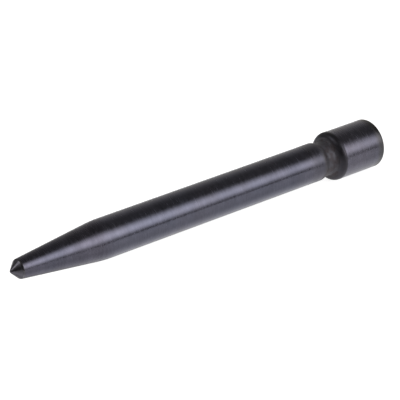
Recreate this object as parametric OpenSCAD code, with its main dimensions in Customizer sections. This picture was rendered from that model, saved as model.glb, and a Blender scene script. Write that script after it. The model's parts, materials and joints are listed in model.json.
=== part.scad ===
// Round centre punch, turned and ground from one bar of steel.
// It lies along X with its point towards -X, and its head rests on the bench at z = 0.
// The half section is drawn beside the axis: x is the radius, y is zero at the striking
// face and falls towards the point.

/* [Whole punch] */
// Length from the tip to the striking face
overall_l = 113; // [90:0.5:150]

/* [Point] */
// Included angle of the ground cone, in degrees
point_angle = 90; // [60:5:110]
// Diameter of the cone where it meets the taper
point_d = 4.9; // [3:0.1:7]
// Radius that blunts the very tip
nose_r = 0.6; // [0.1:0.1:1]
// Radius on the edge between the cone and the taper
point_edge_r = 0.8; // [0.1:0.1:1.2]

/* [Taper] */
// Length of the taper, from the cone to where its line meets the shank
taper_l = 22.9; // [15:0.1:40]
// Radius that blends the taper into the shank
blend_r = 32; // [10:1:60]

/* [Shank] */
// Diameter of the ground shank
shank_d = 10; // [8:0.1:12]

/* [Neck] */
// Depth of the relief that is turned beside the head
relief_depth = 0.5; // [0.1:0.1:0.9]
// Length of the slope from the shank down into the relief
relief_slope_l = 1.2; // [0.4:0.1:2]
// Length of the relief's straight floor
relief_floor_l = 2.1; // [0.5:0.1:4]
// Radius in the corner between the relief and the shoulder
fillet_r = 0.7; // [0.2:0.1:1]
// Angle between the axis and the step up to the head, in degrees
step_angle = 75; // [60:1:88]

/* [Head] */
// Diameter of the head
head_d = 12.7; // [12.2:0.1:16]
// Length of the head's side, from where the step's line meets it to the striking face
head_l = 14.7; // [8:0.1:25]
// Radius on the shoulder
shoulder_r = 1.7; // [0.3:0.1:2.2]
// Radius on the rear rim
rim_r = 1; // [0.3:0.1:2.5]

/* [Hidden] */
$fn = 180;

// Straight steps along each arc that is drawn point by point
arc_steps = 8;

// Angles from the axis of the cone's side and of the taper's side
cone_slope = point_angle / 2;
taper_slope = atan2((shank_d - point_d) / 2, taper_l);

// Radii of the turned sections
point_r = point_d / 2;
shank_r = shank_d / 2;
relief_r = shank_r - relief_depth;
head_r = head_d / 2;

// The step up to the head has room for a fillet and a shoulder whose radii add up to this
step_h = head_r - relief_r;
step_room = step_h / sin(step_angle) / tan(step_angle / 2);
fillet = min(fillet_r, step_room / 2);
shoulder = min(shoulder_r, step_room - fillet);

// Stations along the axis
tip_y = -overall_l;
cone_end_y = tip_y + point_r / tan(cone_slope) - nose_r * (1 / sin(cone_slope) - 1);
taper_end_y = cone_end_y + taper_l;
shoulder_y = -head_l;
foot_y = shoulder_y - step_h / tan(step_angle);
fillet_start_y = foot_y - fillet * tan(step_angle / 2);
relief_start_y = fillet_start_y - relief_floor_l;
neck_start_y = relief_start_y - relief_slope_l;

// Point of an arc where the outline has a given slope
function on_arc(centre, radius, slope) = centre + radius * [cos(slope), -sin(slope)];

// Points of an arc along which the outline's slope goes from one angle to another
function arc(centre, radius, from, to) =
    [for (i = [0 : arc_steps]) on_arc(centre, radius, from + (to - from) * i / arc_steps)];

// Arc between two straight sides of the outline. It rounds a corner, and with a negative radius
// it fills a hollow.
function rounded(corner, radius, from, to) =
    let (start = corner - radius * tan((from - to) / 2) * [sin(from), cos(from)])
    arc(start - radius * [cos(from), -sin(from)], radius, from, to);

// Outline of the point, the taper, the shank and the relief
front_outline = concat(
    arc([0, tip_y + nose_r], nose_r, 90, cone_slope),
    rounded([point_r, cone_end_y], point_edge_r, cone_slope, taper_slope),
    rounded([shank_r, taper_end_y], blend_r, taper_slope, 0),
    [[shank_r, neck_start_y], [relief_r, relief_start_y]]
);

// Outline of the fillet, the rounded shoulder and the rounded rim, up to the striking face
head_outline = concat(
    rounded([relief_r, foot_y], -fillet, 0, step_angle),
    rounded([head_r, shoulder_y], shoulder, step_angle, 0),
    rounded([head_r, 0], rim_r, 0, -90),
    [[0, 0]]
);

// The whole punch, one solid of blacked steel
module punch() {
    color([0.17, 0.17, 0.19])
        translate([overall_l / 2, 0, head_r])
            rotate([0, 90, 0])
                rotate_extrude()
                    polygon(concat(front_outline, head_outline));
}

punch();
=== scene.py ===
"""A round centre punch of blacked steel on a white card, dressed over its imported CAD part.

The punch is one piece, turned and ground from one bar, so it is one lathe surface. It lies along X
with its point towards -X, and everything is in metres in the part's own frame. Sizes of the punch
are written in millimetres, and those of the CAD part have the names that its source gives them.
"""

import json
import logging
import math
from collections.abc import Mapping, Sequence
from dataclasses import dataclass, field
from enum import Enum
from typing import Any, Union

import bpy
import numpy as np
from mathutils import Matrix, Vector

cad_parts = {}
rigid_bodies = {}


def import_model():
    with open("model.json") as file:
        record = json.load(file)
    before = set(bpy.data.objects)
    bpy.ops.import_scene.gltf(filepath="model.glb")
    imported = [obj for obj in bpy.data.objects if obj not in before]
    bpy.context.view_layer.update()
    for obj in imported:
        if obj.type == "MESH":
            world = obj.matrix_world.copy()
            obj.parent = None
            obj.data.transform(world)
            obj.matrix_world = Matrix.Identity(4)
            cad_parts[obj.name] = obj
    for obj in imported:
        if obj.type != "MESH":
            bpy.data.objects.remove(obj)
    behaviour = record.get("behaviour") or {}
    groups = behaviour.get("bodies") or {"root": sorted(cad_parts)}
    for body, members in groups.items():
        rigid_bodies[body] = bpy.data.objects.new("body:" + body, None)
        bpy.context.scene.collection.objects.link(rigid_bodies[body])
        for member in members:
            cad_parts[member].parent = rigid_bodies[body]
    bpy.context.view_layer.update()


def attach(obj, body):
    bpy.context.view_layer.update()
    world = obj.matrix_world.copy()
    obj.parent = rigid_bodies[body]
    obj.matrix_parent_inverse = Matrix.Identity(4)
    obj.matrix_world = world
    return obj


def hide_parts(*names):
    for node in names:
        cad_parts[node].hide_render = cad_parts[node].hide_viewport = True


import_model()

log = logging.getLogger("punch")

MM = 0.001
UM = 1e-6
PROFILE_LENGTH = "profile_mm"
BAKE_MAP = "OFBake"

# A straight stretch of the section has a point this close to each of its ends, in millimetres, or
# this share of the stretch where that is less
CLOSE_MM = 0.04
CLOSE_SHARE = 1 / 8

# The two strips of the flat map: where they start and how high they are, as shares of the map, and
# the gap between their parts and beside them, in millimetres
LOWER_STRIP = 0.02
UPPER_STRIP = 0.52
STRIP_HEIGHT = 0.46
STRIP_GAP = 1.5

# Value about which the noise lies, and the numbers of the Mix node's sockets for colours
NOISE_MIDDLE = 0.5
MIX_FACTOR, MIX_A, MIX_B, MIX_RESULT = 0, 6, 7, 2

Colour = tuple[float, float, float]
Range = tuple[float, float]
Value = Union["Shade", float, Colour]

WHITE: Colour = (1.0, 1.0, 1.0)


class Tree:
    """A node tree that makes its nodes through one method."""

    def __init__(self, owner: bpy.types.Material | bpy.types.World) -> None:
        """Empties the node tree of a material or a world.

        Args:
            owner: Material or world whose nodes are made anew.
        """
        owner.use_nodes = True
        self.nodes = owner.node_tree.nodes
        self.links = owner.node_tree.links
        self.nodes.clear()

    def node(
        self,
        kind: str,
        settings: Mapping[str, Any] | None = None,
        sockets: Mapping[str | int, Value] | None = None,
        out: str | int = 0,
    ) -> "Shade":
        """Adds a node, first its settings and then its sockets.

        Args:
            kind: Blender's name for the type of node.
            settings: The node's properties by name.
            sockets: Values or links of the input sockets, by name or number.
            out: Name or number of the output socket to hand on.

        Returns:
            The output socket, ready for expressions.
        """
        made = self.nodes.new(kind)
        for name, setting in (settings or {}).items():
            setattr(made, name, setting)
        for name, value in (sockets or {}).items():
            if isinstance(value, Shade):
                self.links.new(value.socket, made.inputs[name])
            elif isinstance(value, tuple) and made.inputs[name].type == "RGBA":
                made.inputs[name].default_value = (*value, 1.0)
            else:
                made.inputs[name].default_value = value
        return Shade(self, made.outputs[out] if made.outputs else None)

    def math(self, operation: str, *terms: Value) -> "Shade":
        """Adds a Math node for one operation on numbers."""
        return self.node("ShaderNodeMath", {"operation": operation}, dict(enumerate(terms)))

    def mix(self, factor: Value, a: Value, b: Value) -> "Shade":
        """Mixes two colours: a where the factor is 0 and b where it is 1."""
        sockets = {MIX_FACTOR: factor, MIX_A: a, MIX_B: b}
        return self.node("ShaderNodeMix", {"data_type": "RGBA"}, sockets, MIX_RESULT)

    def scaled(self, vector: Value, factor: Value) -> "Shade":
        """Multiplies a colour or a vector by a number."""
        return self.node("ShaderNodeVectorMath", {"operation": "SCALE"}, {0: vector, "Scale": factor})

    def vector(self, x: Value, y: Value, z: Value) -> "Shade":
        """Puts three numbers together as a vector or a colour."""
        return self.node("ShaderNodeCombineXYZ", None, {"X": x, "Y": y, "Z": z})

    def parts(self, vector: "Shade") -> tuple["Shade", "Shade", "Shade"]:
        """Takes a vector apart into its x, y and z."""
        outputs = self.node("ShaderNodeSeparateXYZ", None, {0: vector}).socket.node.outputs
        return Shade(self, outputs["X"]), Shade(self, outputs["Y"]), Shade(self, outputs["Z"])

    def noise(self, vector: "Shade", detail: float, roughness: float = 0.5) -> "Shade":
        """Adds smooth noise with cells one unit wide.

        Args:
            vector: Place in the pattern, in cells.
            detail: How many finer layers are added.
            roughness: How strong each finer layer is beside the one before.

        Returns:
            The noise as a number from 0 to 1.
        """
        sockets = {"Vector": vector, "Scale": 1.0, "Detail": detail, "Roughness": roughness}
        return self.node("ShaderNodeTexNoise", {"noise_dimensions": "3D"}, sockets)


class Shade:
    """An output socket on which shader maths is written as a Python expression."""

    def __init__(self, tree: Tree, socket: bpy.types.NodeSocket | None) -> None:
        """Keeps the tree and the socket."""
        self.tree = tree
        self.socket = socket

    def __add__(self, other: Value) -> "Shade":
        """Sum of this and another value."""
        return self.tree.math("ADD", self, other)

    def __sub__(self, other: Value) -> "Shade":
        """This less another value."""
        return self.tree.math("SUBTRACT", self, other)

    def __rsub__(self, other: Value) -> "Shade":
        """Another value less this."""
        return self.tree.math("SUBTRACT", other, self)

    def __mul__(self, other: Value) -> "Shade":
        """Product of this and another value."""
        return self.tree.math("MULTIPLY", self, other)

    __radd__ = __add__
    __rmul__ = __mul__

    def __neg__(self) -> "Shade":
        """This with its sign turned."""
        return self * -1.0

    def sine(self) -> "Shade":
        """Sine of an angle in radians."""
        return self.tree.math("SINE", self)

    def step(self, start: float, end: float) -> "Shade":
        """Eases from 0 to 1 between two values of this.

        Args:
            start: Value at which the step is still 0.
            end: Value at which the step has reached 1, above the start or below it.

        Returns:
            The step as a number from 0 to 1.
        """
        low, high, first, last = (start, end, 0.0, 1.0) if start < end else (end, start, 1.0, 0.0)
        sockets = {"Value": self, "From Min": low, "From Max": high, "To Min": first, "To Max": last}
        return self.tree.node("ShaderNodeMapRange", {"interpolation_type": "SMOOTHSTEP"}, sockets)


def placed(name: str, data: bpy.types.Mesh | bpy.types.Camera) -> bpy.types.Object:
    """Makes an object of a mesh or a camera and links it to the scene.

    Args:
        name: Name of the object.
        data: The mesh or the camera.

    Returns:
        The object.
    """
    made = bpy.data.objects.new(name, data)
    bpy.context.scene.collection.objects.link(made)
    return made


class Zone(Enum):
    """Stretches of the section, in order from the tip to the middle of the striking face."""

    POINT = "point"
    TAPER = "taper"
    SHANK = "shank"
    RUN_OUT = "run_out"
    RELIEF = "relief"
    SHOULDER = "shoulder"
    HEAD = "head"
    RIM = "rim"
    FACE = "face"


@dataclass(frozen=True)
class Finish:
    """How one zone of the blacked steel was cut and how it shines."""

    colour: Colour
    roughness: float
    # Share of the surface that shines as metal: bare scale scatters some of the light
    metallic: float = 1.0
    # Depth in micrometres of the lines that a grinding wheel leaves, and of a turning tool's rings
    ground_um: float = 0.0
    turned_um: float = 0.0
    # How strongly the blacking is clouded, and how much brown scale is left in it, from 0 to 1
    cloud: float = 0.3
    scale: float = 0.0
    # Millimetres over which the finish takes over from the zone before it
    fade_mm: float = 0.1


FINISHES: dict[Zone, Finish] = {
    Zone.POINT: Finish((0.092, 0.090, 0.108), 0.26, ground_um=1.5, cloud=0.5),
    Zone.TAPER: Finish((0.086, 0.083, 0.108), 0.26, ground_um=1.6, fade_mm=0.08),
    Zone.SHANK: Finish((0.098, 0.098, 0.128), 0.20, ground_um=1.6, fade_mm=6.0),
    Zone.RUN_OUT: Finish((0.096, 0.094, 0.118), 0.34, ground_um=1.8, fade_mm=3.0),
    Zone.RELIEF: Finish(
        (0.090, 0.087, 0.103), 0.54, metallic=0.55, turned_um=1.0, cloud=0.35, scale=0.45, fade_mm=1.4
    ),
    # The shoulder's darker colour is partly its dull unground blacking and partly painted shade,
    # deepening the dark ring the rounded shoulder mirrors
    Zone.SHOULDER: Finish((0.048, 0.047, 0.057), 0.40, ground_um=0.8, cloud=0.7, scale=0.1, fade_mm=0.6),
    Zone.HEAD: Finish((0.108, 0.105, 0.134), 0.25, ground_um=1.7, cloud=0.35, scale=0.05, fade_mm=0.25),
    Zone.RIM: Finish((0.086, 0.083, 0.089), 0.34, ground_um=1.2, cloud=0.4, scale=0.1, fade_mm=2.0),
    Zone.FACE: Finish((0.094, 0.092, 0.098), 0.30, turned_um=3.0, cloud=0.5, fade_mm=0.3),
}


@dataclass(frozen=True)
class Marks:
    """How much each pattern in the steel adds to its height, its roughness or its shade of grey."""

    lines: float = 0.0
    cuts: float = 0.0
    bands: float = 0.0
    rings: float = 0.0
    clouds: float = 0.0
    specks: float = 0.0
    scale: float = 0.0


@dataclass(frozen=True)
class BlackedSteel:
    """Black oxide over ground and turned steel, in zones laid end to end along the section."""

    name: str = "blacked_steel"
    # Width along the section and length round the axis, in millimetres, of the ground lines, of the
    # short cuts that break them up and of the broad bands
    line: Range = (0.35, 5.0)
    cut: Range = (0.5, 1.6)
    band: Range = (2.5, 10.0)
    # Feed of the turning tool, and how far in radians the bands push its rings aside
    feed_mm: float = 0.6
    ring_sway: float = 3.0
    # Size of the clouds, of the changes of hue, of the patches of scale and of the specks
    cloud_mm: float = 5.0
    hue_mm: float = 25 / 3
    patch_mm: float = 1.7
    speck_mm: float = 0.5
    # Noise at which a patch of scale starts and is full
    patch_noise: Range = (0.46, 0.62)
    # What the patterns add to the height, beside the lines and the scale that count in full, to the
    # roughness and to the shade of grey
    height: Marks = Marks(cuts=4.0, rings=0.5, specks=0.4)
    gloss: Marks = Marks(lines=0.15, cuts=0.35, clouds=0.08, scale=0.10)
    grey: Marks = Marks(lines=0.25, cuts=0.45, bands=0.45, clouds=0.8, specks=0.1)
    # How far the hue swings in red, and the other way in blue
    hue: Range = (0.10, 0.08)
    # Brown of the scale, and grey of the steel where the blacking is rubbed off an edge
    scale_colour: Colour = (0.052, 0.033, 0.032)
    bare_colour: Colour = (0.170, 0.165, 0.165)
    # Rubbed edges: half their width in millimetres, how much an edge and the noise count towards
    # rubbing, and the sums of both at which bare steel starts to show and is all that shows
    rubbed_mm: float = 0.35
    rub_edge: float = 0.6
    rub_noise: float = 1.2
    rub_limits: Range = (1.1, 1.4)

    @staticmethod
    def _taken_over(along: Shade, starts: Mapping[Zone, float], zone: Zone) -> Shade:
        """Eases from 0 to 1 where a zone's finish takes over, centred on the zone's start."""
        half = FINISHES[zone].fade_mm / 2
        return along.step(starts[zone] - half, starts[zone] + half)

    def _laid(self, along: Shade, starts: Mapping[Zone, float], part: str) -> Shade | float:
        """Lays one number of every finish end to end along the section.

        Each zone adds the change from the zone before it, times the step where it takes over.

        Args:
            along: Length along the section, in millimetres.
            starts: Where each zone starts, in millimetres along the section.
            part: Name of the field of Finish.

        Returns:
            The number as it changes along the section.
        """
        zones = list(Zone)
        laid: Shade | float = getattr(FINISHES[zones[0]], part)
        for before, zone in zip(zones, zones[1:]):
            change = getattr(FINISHES[zone], part) - getattr(FINISHES[before], part)
            if change:
                laid = self._taken_over(along, starts, zone) * change + laid
        return laid

    def _colours(self, tree: Tree, along: Shade, starts: Mapping[Zone, float]) -> Value:
        """Mixes the colour of every finish into the one before it, from the tip on.

        Args:
            tree: The material's nodes.
            along: Length along the section, in millimetres.
            starts: Where each zone starts, in millimetres along the section.

        Returns:
            The colour as it changes along the section.
        """
        laid: Value = FINISHES[Zone.POINT].colour
        for zone in list(Zone)[1:]:
            laid = tree.mix(self._taken_over(along, starts, zone), laid, FINISHES[zone].colour)
        return laid

    def _stretched(self, tree: Tree, along: Shade, place: Shade, cell: Range) -> Shade:
        """Adds noise whose cells are drawn out round the axis.

        Args:
            tree: The material's nodes.
            along: Length along the section, in millimetres.
            place: Place in the part's frame, in millimetres.
            cell: Width along the section and length round the axis, in millimetres.

        Returns:
            The noise, less its middle.
        """
        _, across, up = tree.parts(place)
        width, length = cell
        drawn = tree.vector(along * (1 / width), across * (1 / length), up * (1 / length))
        return tree.noise(drawn, detail=2.0, roughness=0.6) - NOISE_MIDDLE

    def _rubbed(self, along: Shade, edges: Sequence[float], patches: Shade) -> Shade:
        """Rubs the edges bare, where an edge's nearness and the noise add up to enough.

        Args:
            along: Length along the section, in millimetres.
            edges: Lengths along the section at which an edge is rubbed.
            patches: The noise.

        Returns:
            How bare the steel is, from 0 to 1.
        """
        rubbed = patches * self.rub_noise
        for edge in edges:
            nearness = along.tree.math("ABSOLUTE", along - edge).step(self.rubbed_mm, 0.0)
            rubbed = nearness * self.rub_edge + rubbed
        return rubbed.step(*self.rub_limits)

    def material(self, starts: Mapping[Zone, float], edges: Sequence[float]) -> bpy.types.Material:
        """Builds the material.

        Ground lines and cuts are noise stretched round the axis. Rings are a sine of the length
        along the section. All are added up as a height in micrometres for one Bump node.

        Args:
            starts: Where each zone starts, in millimetres along the section.
            edges: Lengths along the section at which an edge is rubbed.

        Returns:
            The finished material.
        """
        material = bpy.data.materials.new(self.name)
        tree = Tree(material)
        along = tree.node("ShaderNodeAttribute", {"attribute_name": PROFILE_LENGTH}, out="Fac")
        place = tree.scaled(tree.node("ShaderNodeTexCoord", out="Object"), 1 / MM)
        lines = self._stretched(tree, along, place, self.line)
        cuts = self._stretched(tree, along, place, self.cut)
        bands = self._stretched(tree, along, place, self.band)
        clouds = tree.noise(tree.scaled(place, 1 / self.cloud_mm), detail=3.0) - NOISE_MIDDLE
        hues = tree.noise(tree.scaled(place, 1 / self.hue_mm), detail=1.0) - NOISE_MIDDLE
        patches = tree.noise(tree.scaled(place, 1 / self.patch_mm), detail=3.0)
        specks = tree.noise(tree.scaled(place, 1 / self.speck_mm), detail=2.0) - NOISE_MIDDLE
        rings = (along * (2 * math.pi / self.feed_mm) + bands * self.ring_sway).sine()

        cloud = self._laid(along, starts, "cloud")
        ground = self._laid(along, starts, "ground_um")
        turned = self._laid(along, starts, "turned_um")
        rough = self._laid(along, starts, "roughness")
        metal = self._laid(along, starts, "metallic")
        scale = patches.step(*self.patch_noise) * self._laid(along, starts, "scale")
        bare = self._rubbed(along, edges, patches)

        height = (lines + cuts * self.height.cuts) * ground + rings * self.height.rings * turned
        height = height + specks * self.height.specks + scale
        gloss = rough + lines * self.gloss.lines + cuts * self.gloss.cuts
        gloss = gloss + clouds * self.gloss.clouds + scale * self.gloss.scale
        grey = lines * self.grey.lines + cuts * self.grey.cuts + bands * self.grey.bands
        grey = grey + specks * self.grey.specks + clouds * cloud * self.grey.clouds + 1.0
        red, blue = self.hue
        tone = tree.vector(grey - hues * red, grey, grey + hues * blue)
        scaled = tree.mix(scale, self._colours(tree, along, starts), self.scale_colour)
        worn = tree.mix(bare, scaled, self.bare_colour)
        colour = tree.node("ShaderNodeVectorMath", {"operation": "MULTIPLY"}, {0: worn, 1: tone})

        normal = tree.node("ShaderNodeBump", None, {"Strength": 1.0, "Distance": UM, "Height": height})
        sockets = {"Base Color": colour, "Metallic": metal, "Roughness": gloss, "Normal": normal}
        shader = tree.node("ShaderNodeBsdfPrincipled", None, sockets)
        tree.node("ShaderNodeOutputMaterial", None, {"Surface": shader})
        return material


@dataclass(frozen=True)
class Corner:
    """A corner of the section: its place, the radius that rounds it and the steps of that arc."""

    x: float
    radius: float
    rounding: float = 0.0
    steps: int = 10


@dataclass(frozen=True)
class Section:
    """Half section of the punch as points, with the length along it and the places of its corners."""

    points: np.ndarray
    length: np.ndarray
    arcs: np.ndarray

    @classmethod
    def rounded(cls, corners: Sequence[Corner], pitch: float) -> "Section":
        """Rounds the corners of a half section that starts and ends on the axis.

        A corner's arc touches both sides at the rounding times the tangent of half the turn from
        the corner. The first corner lies on the axis, where its arc runs from the axis to the
        side. Straight stretches get a point about every pitch, and one close to each end, so that
        their shading stays flat.

        Args:
            corners: Corners in order from the tip, the last on the axis too.
            pitch: Distance between points on a straight stretch.

        Returns:
            The section. Its arcs hold the first and last length along it of each corner's arc.
        """
        places = np.array([(corner.x, corner.radius) for corner in corners])
        roundings = np.array([corner.rounding for corner in corners[:-1]])
        sides = np.diff(places, axis=0)
        slopes = np.concatenate([[math.pi / 2], np.arctan2(sides[:, 1], sides[:, 0])])
        turns = np.diff(slopes)
        reaches = roundings * np.tan(np.abs(turns) / 2)
        headings = np.column_stack([np.cos(slopes[:-1]), np.sin(slopes[:-1])])
        starts = places[:-1] - reaches[:, None] * headings
        starts[0] = places[0] + np.array([roundings[0] / math.sin(slopes[1]) - roundings[0], 0.0])
        ends = np.vstack([starts[1:], places[-1]])

        pieces, marks, count = [], [], 0
        for corner, start, end, slope, turn in zip(corners, starts, ends, slopes, turns):
            inwards = np.sign(turn) * corner.rounding
            centre = start + np.array([-math.sin(slope), math.cos(slope)]) * inwards
            angle = slope + turn * np.linspace(0, 1, corner.steps + 1)
            arc = centre + np.column_stack([np.sin(angle), -np.cos(angle)]) * inwards
            run = np.linalg.norm(end - arc[-1])
            close = min(CLOSE_MM / run, CLOSE_SHARE)
            between = np.linspace(0, 1, max(int(run / pitch), 1) + 1)[1:-1]
            shares = np.concatenate([[close], between, [1 - close]])
            pieces += [arc, arc[-1] + shares[:, None] * (end - arc[-1])]
            marks.append((count, count + corner.steps))
            count += len(arc) + len(shares)
        points = np.vstack([*pieces, places[-1]])
        length = np.concatenate([[0.0], np.cumsum(np.linalg.norm(np.diff(points, axis=0), axis=1))])
        return cls(points, length, length[np.array(marks)])


@dataclass
class Punch:
    """The whole punch, one solid of blacked steel. Sizes are in millimetres and degrees."""

    overall_l: float = 113.0
    point_angle: float = 90.0
    point_d: float = 4.9
    nose_r: float = 0.6
    point_edge_r: float = 0.8
    taper_l: float = 22.9
    blend_r: float = 32.0
    shank_d: float = 10.0
    relief_depth: float = 0.5
    relief_slope_l: float = 1.2
    relief_floor_l: float = 2.1
    fillet_r: float = 0.7
    step_angle: float = 75.0
    head_d: float = 12.7
    head_l: float = 14.7
    shoulder_r: float = 1.7
    rim_r: float = 1.0
    # Rounding of the shallow edges of the relief, sharp in the CAD part
    relief_edge_r: float = 2.4
    # Length of duller ground shank beside the relief, where the wheel was lifted off
    run_out_l: float = 4.0
    # How far past the arc of the cone's edge, of the fillet and of the shoulder the next finish
    # starts, and how far before the arcs of the relief and of the rim
    past_edge: float = 0.1
    past_fillet: float = 0.25
    # The darker shoulder finish, partly painted shade, reaches past_shoulder onto the head's side
    past_shoulder: float = 0.15
    before_relief: float = 0.1
    before_rim: float = 1.2
    # Points round the axis, and distance between points on a straight stretch
    sides: int = 160
    pitch: float = 0.8
    finish: BlackedSteel = field(default_factory=BlackedSteel)

    def section(self) -> Section:
        """Rounds the half section, from the tip to the middle of the striking face.

        Returns:
            The section, in millimetres.
        """
        back = self.overall_l / 2
        slope = math.radians(self.point_angle / 2)
        apex = -back - self.nose_r * (1 / math.sin(slope) - 1)
        cone_end = apex + self.point_d / 2 / math.tan(slope)
        relief_r = self.shank_d / 2 - self.relief_depth
        step = math.radians(self.step_angle)
        shoulder = back - self.head_l
        foot = shoulder - (self.head_d / 2 - relief_r) / math.tan(step)
        relief_end = foot - self.relief_floor_l - self.fillet_r * math.tan(step / 2)
        corners = [
            Corner(apex, 0.0, self.nose_r, steps=8),
            Corner(cone_end, self.point_d / 2, self.point_edge_r, steps=10),
            Corner(cone_end + self.taper_l, self.shank_d / 2, self.blend_r, steps=16),
            Corner(relief_end - self.relief_slope_l, self.shank_d / 2, self.relief_edge_r, steps=8),
            Corner(relief_end, relief_r, self.relief_edge_r, steps=8),
            Corner(foot, relief_r, self.fillet_r, steps=14),
            Corner(shoulder, self.head_d / 2, self.shoulder_r, steps=20),
            Corner(back, self.head_d / 2, self.rim_r, steps=20),
            Corner(back, 0.0),
        ]
        return Section.rounded(corners, self.pitch)

    def zone_starts(self, section: Section) -> dict[Zone, float]:
        """Finds where each zone starts.

        Args:
            section: Half section in millimetres.

        Returns:
            The lengths along the section, in millimetres.
        """
        _, edge, blend, relief, _, fillet, shoulder, rim = section.arcs
        return {
            Zone.POINT: 0.0,
            Zone.TAPER: edge[1] + self.past_edge,
            Zone.SHANK: blend.mean(),
            Zone.RUN_OUT: relief[0] - self.run_out_l,
            Zone.RELIEF: relief[0] - self.before_relief,
            Zone.SHOULDER: fillet[1] + self.past_fillet,
            Zone.HEAD: shoulder[1] + self.past_shoulder,
            Zone.RIM: rim[0] - self.before_rim,
            Zone.FACE: rim[1],
        }

    def surface(self, section: Section) -> bpy.types.Mesh:
        """Turns the section round the axis into a closed surface.

        Vertex (i, j) is at the section's x, and at its radius times the cosine and sine of turn j
        round the axis. The first and last points lie on the axis and are one vertex each, which
        triangles close.

        Args:
            section: Half section in millimetres.

        Returns:
            The mesh, with the length along the section as a number on each vertex.
        """
        rings = section.points[1:-1]
        turn = np.linspace(0, 2 * math.pi, self.sides, endpoint=False)
        grid = np.empty((len(rings), self.sides, 3))
        grid[..., 0] = rings[:, :1]
        grid[..., 1] = rings[:, 1:] * np.cos(turn)
        grid[..., 2] = rings[:, 1:] * np.sin(turn) + self.head_d / 2
        ends = np.array([(section.points[k, 0], 0, self.head_d / 2) for k in (0, -1)])
        vertices = np.vstack([grid.reshape(-1, 3), ends]) * MM

        tip, rear = len(vertices) - 2, len(vertices) - 1
        here = np.arange(len(rings) * self.sides).reshape(len(rings), self.sides)
        over = np.roll(here, -1, axis=1)
        quads = np.stack([here[:-1], over[:-1], over[1:], here[1:]], axis=-1).reshape(-1, 4)
        front = np.column_stack([np.full(self.sides, tip), over[0], here[0]])
        face = np.column_stack([np.full(self.sides, rear), here[-1], over[-1]])
        mesh = bpy.data.meshes.new("punch_body")
        mesh.from_pydata(vertices, [], [*quads.tolist(), *front.tolist(), *face.tolist()])
        mesh.polygons.foreach_set("use_smooth", np.ones(len(mesh.polygons), bool))

        along = np.concatenate([np.repeat(section.length[1:-1], self.sides), section.length[[0, -1]]])
        lengths = mesh.attributes.new(PROFILE_LENGTH, "FLOAT", "POINT")
        lengths.data.foreach_set("value", along.astype(np.float32))
        mesh.update()
        return mesh

    def unwrap(self, mesh: bpy.types.Mesh, section: Section) -> None:
        """Lays the surface out flat in two strips, one above the other.

        The lower strip is the shank. The upper strip is the point and taper, followed by the relief
        and head. U follows the length along the section, and v the turn round the axis.

        A face's corners are taken in the mesh's order: the quads, then the triangles at the tip and
        those at the rear. The middle of a face says which part it belongs to.

        Args:
            mesh: The lathe surface.
            section: The section that it was turned from.
        """
        ring = section.length
        turn = np.arange(self.sides)
        i, j = (part.ravel() for part in np.meshgrid(np.arange(1, len(ring) - 2), turn, indexing="ij"))
        lengths = [
            np.column_stack([ring[i], ring[i], ring[i + 1], ring[i + 1]]),
            np.tile(ring[[0, 1, 1]], (self.sides, 1)),
            np.tile(ring[[-1, -2, -2]], (self.sides, 1)),
        ]
        turns = [
            np.column_stack([j, j + 1, j + 1, j]),
            np.column_stack([turn + 0.5, turn + 1, turn]),
            np.column_stack([turn + 0.5, turn, turn + 1]),
        ]
        middles = [
            np.repeat((ring[i] + ring[i + 1]) / 2, 4),
            np.repeat(ring[[0, -1]], 3 * self.sides),
        ]
        length = np.concatenate([part.ravel() for part in lengths])
        around = np.concatenate([part.ravel() for part in turns]) / self.sides
        middle = np.concatenate(middles)

        _, _, blend, relief, *_ = section.arcs
        first, last = blend[1], relief[0]
        shank = (middle > first) & (middle < last)
        after = middle > last
        width = max(last - first, ring[-1] - last + first + STRIP_GAP) + 2 * STRIP_GAP
        u = np.where(shank, length - first, np.where(after, length - last + first + STRIP_GAP, length))
        v = np.where(shank, LOWER_STRIP, UPPER_STRIP) + STRIP_HEIGHT * around
        layer = mesh.uv_layers.new(name=BAKE_MAP)
        uv = np.column_stack([(u + STRIP_GAP) / width, v])
        layer.data.foreach_set("uv", uv.ravel().astype(np.float32))

    def build(self) -> bpy.types.Object:
        """Makes the punch, dresses it and puts it in the place of its CAD solid.

        Returns:
            The finished piece.
        """
        section = self.section()
        mesh = self.surface(section)
        self.unwrap(mesh, section)
        _, edge, *_, rim = section.arcs
        mesh.materials.append(self.finish.material(self.zone_starts(section), [edge.mean(), rim.mean()]))
        punch = placed("punch_body", mesh)
        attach(punch, "root")
        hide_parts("punch")
        log.info("punch_body: %d vertices, %d faces", len(mesh.vertices), len(mesh.polygons))
        return punch


@dataclass(frozen=True)
class SoftBox:
    """A large soft light, given by where rays from the punch meet it.

    Rise is the angle in degrees round the punch's axis, from 0 at the front horizon over 90
    straight above to 180 at the rear horizon. Lean is the part of a ray's direction that runs
    along the axis, from -1 on the point's side to 1 on the head's.
    """

    strength: float
    # Rise and lean where the light starts, is full, begins to fade and has gone
    rise: tuple[float, float, float, float]
    lean: tuple[float, float, float, float]
    # Degrees by which the upper edge falls for each unit of lean, before and beyond the bend
    slant: Range = (0.0, 0.0)
    bend: float = 0.55

    def glow(self, rise: Shade, lean: Shade) -> Shade:
        """Finds the light in a direction, as the product of four eased steps.

        Args:
            rise: Rise of the direction, in degrees.
            lean: Lean of the direction.

        Returns:
            The strength of the light.
        """
        bottom, bottom_full, top_full, top = self.rise
        left, left_full, right_full, right = self.lean
        before, beyond = self.slant
        past = lean - self.bend
        slanted = rise + past * before + rise.tree.math("MAXIMUM", past, 0.0) * (beyond - before)
        across = rise.step(bottom, bottom_full) * slanted.step(top, top_full)
        return across * lean.step(left, left_full) * lean.step(right, right_full) * self.strength


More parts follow.
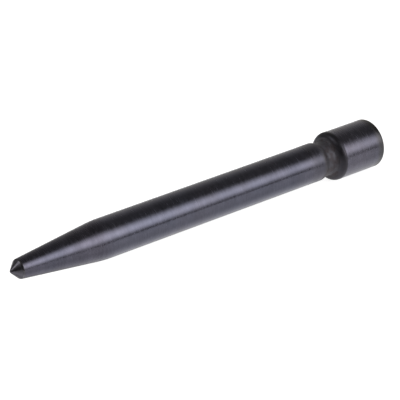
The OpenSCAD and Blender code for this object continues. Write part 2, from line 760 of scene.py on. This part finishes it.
@dataclass(frozen=True)
class Surroundings:
    """The dim room behind the lights, by the rise and lean that a soft box is given in."""

    # A little warmer than the lights
    colour: Colour = (1.0, 0.975, 0.92)
    # Strength overhead and in front, on the left overhead, on the left in front, and at the rear
    # left and right
    ceiling: float = 0.17
    ceiling_left: float = 0.34
    front_left: float = 0.13
    rear_left: float = 0.33
    rear_right: float = 0.62
    # Rise over which the ceiling turns into the front and into the rear
    front_rise: Range = (90.0, 50.0)
    rear_rise: Range = (100.0, 168.0)
    # Lean over which the room turns into its left, and the rear left into the rear right
    left_lean: Range = (0.0, -0.45)
    right_lean: Range = (0.3, 0.6)

    def glow(self, rise: Shade, lean: Shade) -> Shade:
        """Finds the light in a direction, starting from the ceiling's.

        Args:
            rise: Rise of the direction, in degrees.
            lean: Lean of the direction.

        Returns:
            The strength of the light.
        """
        rear = lean.step(*self.right_lean) * (self.rear_right - self.rear_left)
        behind = rise.step(*self.rear_rise)
        above = (1.0 - behind) * (self.ceiling_left - self.ceiling)
        ahead = rise.step(*self.front_rise) * (self.front_left - self.ceiling_left)
        left = lean.step(*self.left_lean) * (above + ahead)
        return behind * (rear + (self.rear_left - self.ceiling)) + left + self.ceiling


@dataclass(frozen=True)
class PaintedShade:
    """Painted shade: a part of the card that shows darker, only where the steel mirrors it."""

    amount: float
    # Where it starts and is full, in metres along X and along Y
    x: Range
    y: Range

    def at(self, x: Shade, y: Shade) -> Shade:
        """Painted shade at a place on the card, the product of two eased steps and its amount."""
        return x.step(*self.x) * y.step(*self.y) * self.amount


@dataclass(frozen=True)
class PaintedMirroredCard:
    """How bright each place on the card shows in the steel, with painted light and painted shade on it.
    Places are in metres.
    """

    card: float = 0.51
    # Painted shade that darkens the mirrored card towards its front right and towards its front left
    front_right: PaintedShade = PaintedShade(0.20, x=(-0.03, 0.01), y=(-0.01, -0.08))
    front_left: PaintedShade = PaintedShade(0.32, x=(-0.056, -0.068), y=(-0.008, -0.032))
    # Painted light, a brighter band close before the punch, and where it starts and is full along Y
    painted_light_near: float = 0.40
    near_y: Range = (-0.010, -0.0045)
    # Painted contact shadow under the punch, and where it starts and is full from the front and from the
    # rear
    under: float = 0.50
    under_front: Range = (-0.0034, -0.0008)
    under_rear: Range = (0.02, 0.008)
    # How much further forward the painted light and the painted shadow begin under the wider head,
    # and where along X that comes in
    head_forward: float = 0.0024
    head_forward_x: Range = (0.034, 0.044)
    # Share of the painted shadow that the head takes back, and where along X that comes in
    head_spared: float = 0.6
    head_spared_x: Range = (0.030, 0.038)

    def glow(self, x: Shade, y: Shade) -> Shade:
        """Adds the painted light to the card's own brightness and takes off the painted shade.

        Args:
            x: Place along the punch, in metres.
            y: Place across it, in metres, negative before it.

        Returns:
            The brightness.
        """
        moved = y + x.step(*self.head_forward_x) * self.head_forward
        spared = 1.0 - x.step(*self.head_spared_x) * self.head_spared
        under = moved.step(*self.under_front) * y.step(*self.under_rear) * (spared * self.under)
        painted_light_near = moved.step(*self.near_y) * self.painted_light_near
        return painted_light_near - under - self.front_right.at(x, y) - self.front_left.at(x, y) + self.card


@dataclass(frozen=True)
class Studio:
    """The white card, the light round it and the camera."""

    # White card under the punch, from its front left to its rear right corner, in metres
    card: tuple[Range, Range] = ((-0.4, -0.11), (0.4, 0.2))
    # How white the camera sees the card glow, and the grey and roughness of its surface
    card_glow: float = 0.90
    card_grey: float = 0.8
    card_roughness: float = 0.45
    # How the card shows in the steel, with painted light and painted shade on it
    painted_mirrored_card: PaintedMirroredCard = PaintedMirroredCard()
    room: Surroundings = Surroundings()
    key: SoftBox = SoftBox(3.84, (-6.0, 30.0, 31.5, 71.5), (0.05, 0.26, 0.26, 1.12), slant=(9.0, 35.0))
    rear: SoftBox = SoftBox(3.0, (90.0, 110.0, 116.0, 136.0), (-0.8, -0.67, -0.6, -0.42))
    # Camera: place in metres, heading in degrees from +X towards +Y, degrees below the horizon,
    # focal length and sensor, and nearest and furthest distance in view in metres
    eye: tuple[float, float, float] = (-0.29801, -0.36093, 0.23489)
    heading: float = 50.47
    dip: float = 25.944
    focal_mm: float = 192.16
    sensor_mm: float = 36.0
    view: Range = (0.01, 20.0)

    def build_card(self) -> bpy.types.Object:
        """Lays the white card under the punch.

        Camera rays see it glow almost white, and glossy and transmission rays as bright as it shows
        in the steel, with painted light and painted shade there. Its own diffuse light on top makes it
        white in the picture and keeps the shadow.

        Returns:
            The card.
        """
        (left, front), (right, back) = self.card
        corners = np.array([(left, front, 0), (right, front, 0), (right, back, 0), (left, back, 0)])
        mesh = bpy.data.meshes.new("card")
        mesh.from_pydata(corners, [], [(0, 1, 2, 3)])
        material = bpy.data.materials.new("white_card")
        tree = Tree(material)
        seen = tree.node("ShaderNodeLightPath", out="Is Camera Ray")
        paths = seen.socket.node.outputs
        bounced = Shade(tree, paths["Is Glossy Ray"]) + Shade(tree, paths["Is Transmission Ray"])
        x, y, _ = tree.parts(tree.node("ShaderNodeTexCoord", out="Object"))
        # Camera rays see an even white glow; glossy and transmission rays see the card with painted
        # light and shade
        glow = seen * self.card_glow + bounced * self.painted_mirrored_card.glow(x, y)
        sockets = {
            "Base Color": (self.card_grey,) * 3,
            "Roughness": self.card_roughness,
            "Emission Color": tree.vector(glow, glow, glow),
            "Emission Strength": 1.0,
        }
        satin = tree.node("ShaderNodeBsdfPrincipled", None, sockets)
        tree.node("ShaderNodeOutputMaterial", None, {"Surface": satin})
        mesh.materials.append(material)
        card = placed("card", mesh)
        log.info("card: %.2f m by %.2f m", right - left, back - front)
        return card

    def build_light(self) -> bpy.types.World:
        """Surrounds the card with soft light.

        The light in a direction depends on its rise and lean alone: the dim surroundings, and the
        soft boxes on top. Camera rays see plain white instead.

        Returns:
            The world.
        """
        world = bpy.data.worlds.new("studio")
        tree = Tree(world)
        lean, y, z = tree.parts(tree.node("ShaderNodeTexCoord", out="Generated"))
        rise = tree.math("ARCTAN2", z, -y) * math.degrees(1.0)
        dim = self.room.glow(rise, lean)
        lamps = self.key.glow(rise, lean) + self.rear.glow(rise, lean)
        light = tree.vector(*(dim * part + lamps for part in self.room.colour))
        seen = tree.node("ShaderNodeLightPath", out="Is Camera Ray")
        sky = tree.node("ShaderNodeBackground", None, {"Color": tree.mix(seen, light, WHITE)})
        tree.node("ShaderNodeOutputWorld", None, {"Surface": sky})
        bpy.context.scene.world = world
        log.info("studio: key light %.1f, rear light %.1f", self.key.strength, self.rear.strength)
        return world

    def build_camera(self) -> bpy.types.Object:
        """Sets the camera up where the photograph was taken from.

        Returns:
            The camera.
        """
        heading, dip = math.radians(self.heading), math.radians(self.dip)
        level = math.cos(dip)
        ahead = Vector((level * math.cos(heading), level * math.sin(heading), -math.sin(dip)))
        right = ahead.cross(Vector((0, 0, 1))).normalized()
        turned = Matrix((right, right.cross(ahead), -ahead)).transposed().to_4x4()
        data = bpy.data.cameras.new("camera")
        data.lens = self.focal_mm
        data.sensor_width = self.sensor_mm
        data.clip_start, data.clip_end = self.view
        camera = placed("camera", data)
        camera.matrix_world = Matrix.Translation(self.eye) @ turned
        bpy.context.scene.camera = camera
        log.info("camera: %.0f mm at %.2f m", self.focal_mm, Vector(self.eye).length)
        return camera


def main() -> None:
    """Builds the punch and its studio, and sets the colour management."""
    logging.basicConfig(level=logging.INFO, format="%(message)s")
    Punch().build()
    studio = Studio()
    studio.build_card()
    studio.build_light()
    studio.build_camera()
    bpy.context.scene.view_settings.view_transform = "Standard"


if __name__ == "__main__":
    main()
